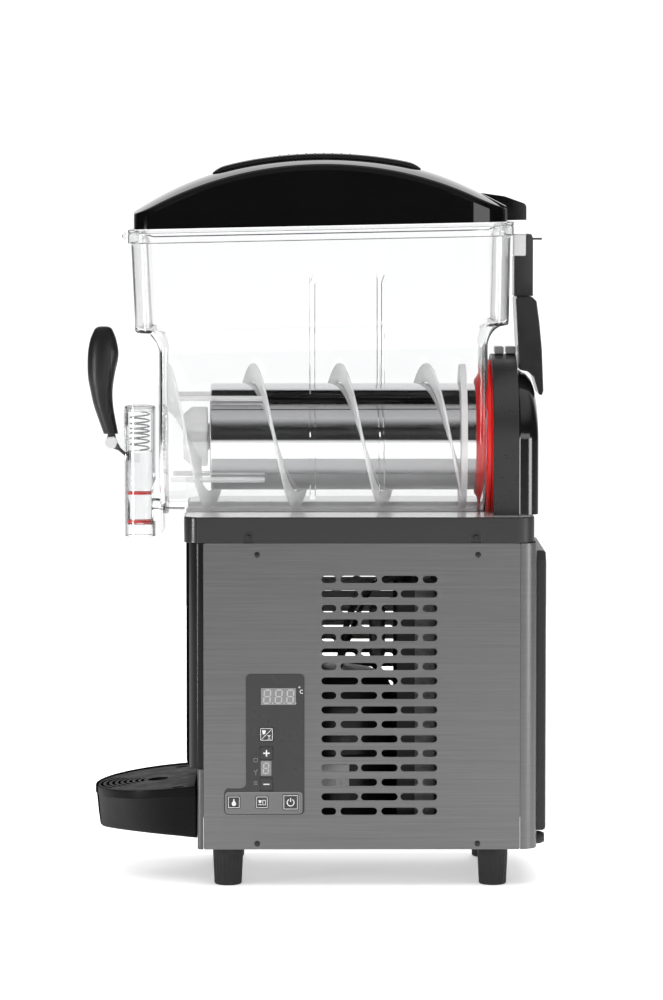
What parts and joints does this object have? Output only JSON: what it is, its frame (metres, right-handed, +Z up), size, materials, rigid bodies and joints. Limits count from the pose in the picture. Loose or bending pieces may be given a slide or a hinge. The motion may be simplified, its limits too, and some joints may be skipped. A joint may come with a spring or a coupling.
{
  "type": "slush machine",
  "caption": "Countertop frozen drink machine with a clear bowl over a chilled drum and auger, a front tap and drip tray, and a side control panel.",
  "frame": {"origin": "on the bench, under the centre of the machine's bounding box", "axes": "+Z up; -Y towards the user (tap and drip tray); +X towards the side with the control panel"},
  "size_m": [0.2416, 0.5196, 0.823],
  "materials": {
    "side_panel_right": "dark brushed stainless",
    "side_panel_left": "dark brushed stainless",
    "front_cover": "black, glossy",
    "front_apron": "grey metal",
    "base_pan": "galvanised sheet",
    "rear_panel": "dark brushed stainless",
    "rear_duct_cover": "black",
    "deck": "dark grey, satin",
    "feet": "black, matte",
    "control_panel": "dark film",
    "displays": "grey windows",
    "control_board": "green circuit board",
    "buttons": "dark keys",
    "freezing_drum": "polished stainless",
    "shaft_bush": "white",
    "bowl_gasket": "red silicone",
    "rear_housing": "black",
    "gear_motor": "grey",
    "rear_arm": "black",
    "lamp_contact": "white insert",
    "bowl_rests": "pale pads",
    "auger": "milky white",
    "drive_shaft": "stainless",
    "bowl": "clear",
    "tap_body": "clear",
    "tap_cap": "clear",
    "pivot_bolt": "stainless",
    "lid": "black, glossy",
    "lid_grip_strip": "black",
    "lid_lamp_cap": "black, glossy",
    "tap_handle": "black, satin",
    "tap_lever": "stainless",
    "tap_plunger": "clear",
    "valve_rings": "red silicone",
    "tap_spring": "stainless wire",
    "drip_tray": "black, satin",
    "drip_grid": "black, satin",
    "copper": "copper tube",
    "filter_drier": "copper",
    "compressor": "black",
    "condenser": "fins",
    "fan": "black",
    "fan_shroud": "galvanised sheet",
    "fan_motor": "black",
    "cable_gland": "black"
  },
  "bodies": {
    "cabinet": {"base_pan": "base_pan", "side_panel_right": "side_panel_right", "side_panel_left": "side_panel_left", "front_cover": "front_cover", "front_apron": "front_apron", "rear_panel": "rear_panel", "rear_duct_cover": "rear_duct_cover", "deck": "deck", "foot_front_left": "feet", "foot_front_right": "feet", "foot_rear_left": "feet", "foot_rear_right": "feet", "control_panel": "control_panel", "temperature_display": "displays", "level_display": "displays", "control_board": "control_board", "freezing_drum": "freezing_drum", "shaft_bush": "shaft_bush", "bowl_gasket": "bowl_gasket", "rear_housing": "rear_housing", "gear_motor": "gear_motor", "rear_hood": "rear_arm", "rear_arm": "rear_arm", "lamp_contact": "lamp_contact", "bowl_rest_front": "bowl_rests", "bowl_rest_rear": "bowl_rests", "compressor": "compressor", "suction_pipe": "copper", "discharge_pipe": "copper", "filter_drier": "filter_drier", "condenser": "condenser", "fan_shroud": "fan_shroud", "fan_motor": "fan_motor", "cable_gland": "cable_gland"},
    "auger": {"auger": "auger", "drive_shaft": "drive_shaft"},
    "fan": {"fan": "fan"},
    "bowl": {"bowl": "bowl", "tap_body": "tap_body", "tap_cap": "tap_cap", "pivot_bolt": "pivot_bolt", "tap_spring": "tap_spring"},
    "lid": {"lid": "lid", "lid_grip_strip": "lid_grip_strip", "lid_lamp_cap": "lid_lamp_cap"},
    "tap_handle": {"tap_handle": "tap_handle", "tap_lever": "tap_lever"},
    "tap_valve": {"tap_plunger": "tap_plunger", "valve_ring_lower": "valve_rings", "valve_ring_upper": "valve_rings"},
    "drip_tray": {"drip_tray": "drip_tray"},
    "drip_grid": {"drip_grid": "drip_grid"},
    "button_mode": {"button_mode": "buttons"},
    "button_plus": {"button_plus": "buttons"},
    "button_minus": {"button_minus": "buttons"},
    "button_lamp": {"button_lamp": "buttons"},
    "button_drink": {"button_drink": "buttons"},
    "button_power": {"button_power": "buttons"}
  },
  "joints": [
    {"name": "auger_spin", "type": "hinge", "parent": "cabinet", "child": "auger", "pos_m": [0, 0, 0.499], "axis": [0, 1, 0], "continuous": true},
    {"name": "fan_spin", "type": "hinge", "parent": "cabinet", "child": "fan", "pos_m": [0, 0.161, 0.2], "axis": [0, 1, 0], "continuous": true},
    {"name": "bowl_slide", "type": "slide", "parent": "cabinet", "child": "bowl", "axis": [0, -1, 0], "range_m": [0, 0.4]},
    {"name": "lid_lift", "type": "slide", "parent": "bowl", "child": "lid", "axis": [0, 0, 1], "range_m": [0, 0.15]},
    {"name": "handle_pull", "type": "hinge", "parent": "bowl", "child": "tap_handle", "pos_m": [0, -0.2324, 0.4926], "axis": [1, 0, 0], "range_deg": [0, 40], "stiffness_Nm_per_rad": 1, "springref_deg": -22.92},
    {"name": "valve_lift", "type": "slide", "parent": "bowl", "child": "tap_valve", "axis": [0, 0, 1], "range_m": [0, 0.0185], "deforming": ["tap_spring"]},
    {"name": "tray_slide", "type": "slide", "parent": "cabinet", "child": "drip_tray", "axis": [0, -1, 0], "range_m": [0, 0.13]},
    {"name": "grid_lift", "type": "slide", "parent": "drip_tray", "child": "drip_grid", "axis": [0, 0, 1], "range_m": [0, 0.02]},
    {"name": "button_mode_press", "type": "slide", "parent": "cabinet", "child": "button_mode", "axis": [-1, 0, 0], "range_m": [0, 0.0008], "stiffness_N_per_m": 500},
    {"name": "button_plus_press", "type": "slide", "parent": "cabinet", "child": "button_plus", "axis": [-1, 0, 0], "range_m": [0, 0.0008], "stiffness_N_per_m": 500},
    {"name": "button_minus_press", "type": "slide", "parent": "cabinet", "child": "button_minus", "axis": [-1, 0, 0], "range_m": [0, 0.0008], "stiffness_N_per_m": 500},
    {"name": "button_lamp_press", "type": "slide", "parent": "cabinet", "child": "button_lamp", "axis": [-1, 0, 0], "range_m": [0, 0.0008], "stiffness_N_per_m": 500},
    {"name": "button_drink_press", "type": "slide", "parent": "cabinet", "child": "button_drink", "axis": [-1, 0, 0], "range_m": [0, 0.0008], "stiffness_N_per_m": 500},
    {"name": "button_power_press", "type": "slide", "parent": "cabinet", "child": "button_power", "axis": [-1, 0, 0], "range_m": [0, 0.0008], "stiffness_N_per_m": 500}
  ],
  "couplings": [
    {"joint": "valve_lift", "follows": "handle_pull", "m_per_rad": 0.0261}
  ]
}
